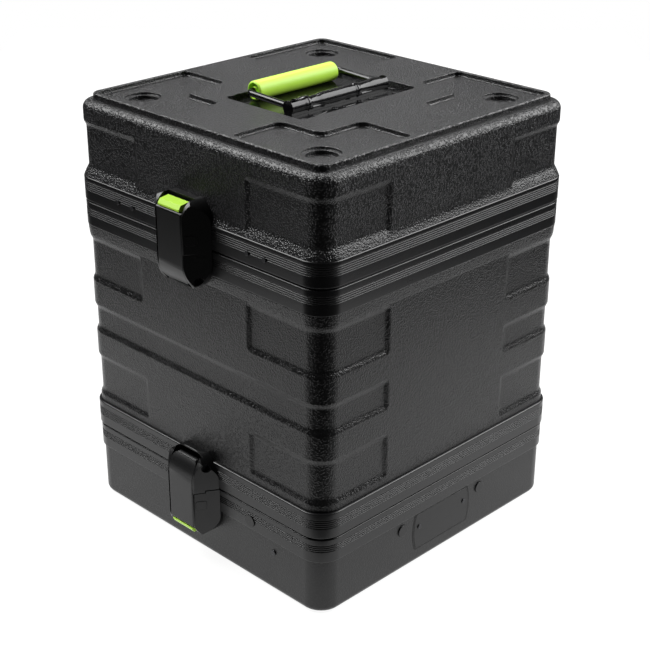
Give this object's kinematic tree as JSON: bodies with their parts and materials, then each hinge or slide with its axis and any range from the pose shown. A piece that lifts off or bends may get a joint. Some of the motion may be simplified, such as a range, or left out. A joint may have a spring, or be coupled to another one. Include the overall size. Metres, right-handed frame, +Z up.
{
  "type": "microphone case",
  "caption": "Tall square stackable microphone case: base tray, sleeve body and lift-off lid closed by side latches, with a recessed spring handle in the lid.",
  "frame": {"origin": "middle of the underside, on the floor", "axes": "+Z up, -Y is the front with the blank name plate, the latches are on -X and +X"},
  "size_m": [0.474, 0.4214, 0.5508],
  "materials": {
    "lid_plastic": "coarse pebbled black moulding, semi-gloss",
    "body_plastic": "fine leather-grain black moulding",
    "base_plastic": "nearly smooth satin black moulding",
    "valance_metal": "black anodised, finely ribbed",
    "latch_plastic": "smooth black nylon",
    "green_plastic": "lime green moulded plastic",
    "green_rubber": "smooth lime green rubber",
    "handle_metal": "gloss black coated steel",
    "plate_metal": "satin black blank plate",
    "dark_fasteners": "blackened steel",
    "spring_steel": "zinc plated",
    "seal_rubber": "black sponge rubber",
    "foam": "charcoal closed-cell foam",
    "shelf_board": "black stained birch ply"
  },
  "bodies": {
    "base": {"base_shell": "base_plastic", "base_valance": "valance_metal", "lower_gasket": "seal_rubber", "base_foam_pad": "foam", "name_plate": "plate_metal", "name_plate_screws": "dark_fasteners", "base_plugs": "latch_plastic", "base_rivet": "dark_fasteners", "base_latch_caps": "latch_plastic", "lower_left_keeper_housing": "latch_plastic", "lower_right_keeper_housing": "latch_plastic"},
    "body": {"body_shell": "body_plastic", "body_lower_valance": "valance_metal", "body_upper_valance": "valance_metal", "upper_gasket": "seal_rubber", "shelf_panel": "shelf_board", "shelf_ledges": "shelf_board", "foam_slats_long": "foam", "foam_slats_cross": "foam", "latch_pivot_pins": "dark_fasteners", "upper_left_pivot_housing": "latch_plastic", "upper_right_pivot_housing": "latch_plastic", "lower_left_pivot_housing": "latch_plastic", "lower_right_pivot_housing": "latch_plastic"},
    "lid": {"lid_shell": "lid_plastic", "lid_valance": "valance_metal", "lid_foam_pad": "foam", "lid_rivets": "dark_fasteners", "lid_latch_caps": "latch_plastic", "handle_plate": "handle_metal", "handle_plate_rivets": "handle_metal", "handle_barrel": "handle_metal", "handle_springs": "spring_steel", "upper_left_keeper_housing": "latch_plastic", "upper_right_keeper_housing": "latch_plastic"},
    "handle": {"handle_bail": "handle_metal", "handle_grip": "green_rubber"},
    "upper_left_lever_body": {"upper_left_lever": "latch_plastic", "upper_left_claw": "spring_steel"},
    "upper_left_trigger_body": {"upper_left_trigger": "green_plastic"},
    "upper_right_lever_body": {"upper_right_lever": "latch_plastic", "upper_right_claw": "spring_steel"},
    "upper_right_trigger_body": {"upper_right_trigger": "green_plastic"},
    "lower_left_lever_body": {"lower_left_lever": "latch_plastic", "lower_left_claw": "spring_steel"},
    "lower_left_trigger_body": {"lower_left_trigger": "green_plastic"},
    "lower_right_lever_body": {"lower_right_lever": "latch_plastic", "lower_right_claw": "spring_steel"},
    "lower_right_trigger_body": {"lower_right_trigger": "green_plastic"}
  },
  "joints": [
    {"name": "body_lift", "type": "slide", "parent": "base", "child": "body", "axis": [0, 0, 1], "range_m": [0, 0.15]},
    {"name": "lid_lift", "type": "slide", "parent": "body", "child": "lid", "axis": [0, 0, 1], "range_m": [0, 0.2]},
    {"name": "handle_hinge", "type": "hinge", "parent": "lid", "child": "handle", "pos_m": [0, -0.025, 0.5365], "axis": [1, 0, 0], "range_deg": [0, 95], "stiffness_Nm_per_rad": 0.15, "springref_deg": -51.57},
    {"name": "upper_left_lever_swing", "type": "hinge", "parent": "body", "child": "upper_left_lever_body", "pos_m": [-0.2225, 0, 0.369], "axis": [0, -1, 0], "range_deg": [0, 100]},
    {"name": "upper_left_trigger_press", "type": "hinge", "parent": "upper_left_lever_body", "child": "upper_left_trigger_body", "pos_m": [-0.228, 0, 0.439], "axis": [0, 1, 0], "range_deg": [0, 8], "stiffness_Nm_per_rad": 0.4, "springref_deg": -11.46},
    {"name": "upper_right_lever_swing", "type": "hinge", "parent": "body", "child": "upper_right_lever_body", "pos_m": [0.2225, 0, 0.369], "axis": [0, 1, 0], "range_deg": [0, 100]},
    {"name": "upper_right_trigger_press", "type": "hinge", "parent": "upper_right_lever_body", "child": "upper_right_trigger_body", "pos_m": [0.228, 0, 0.439], "axis": [0, -1, 0], "range_deg": [0, 8], "stiffness_Nm_per_rad": 0.4, "springref_deg": -11.46},
    {"name": "lower_left_lever_swing", "type": "hinge", "parent": "body", "child": "lower_left_lever_body", "pos_m": [-0.2225, 0, 0.1315], "axis": [0, 1, 0], "range_deg": [0, 100]},
    {"name": "lower_left_trigger_press", "type": "hinge", "parent": "lower_left_lever_body", "child": "lower_left_trigger_body", "pos_m": [-0.228, 0, 0.0615], "axis": [0, -1, 0], "range_deg": [0, 8], "stiffness_Nm_per_rad": 0.4, "springref_deg": -11.46},
    {"name": "lower_right_lever_swing", "type": "hinge", "parent": "body", "child": "lower_right_lever_body", "pos_m": [0.2225, 0, 0.1315], "axis": [0, -1, 0], "range_deg": [0, 100]},
    {"name": "lower_right_trigger_press", "type": "hinge", "parent": "lower_right_lever_body", "child": "lower_right_trigger_body", "pos_m": [0.228, 0, 0.0615], "axis": [0, 1, 0], "range_deg": [0, 8], "stiffness_Nm_per_rad": 0.4, "springref_deg": -11.46}
  ]
}
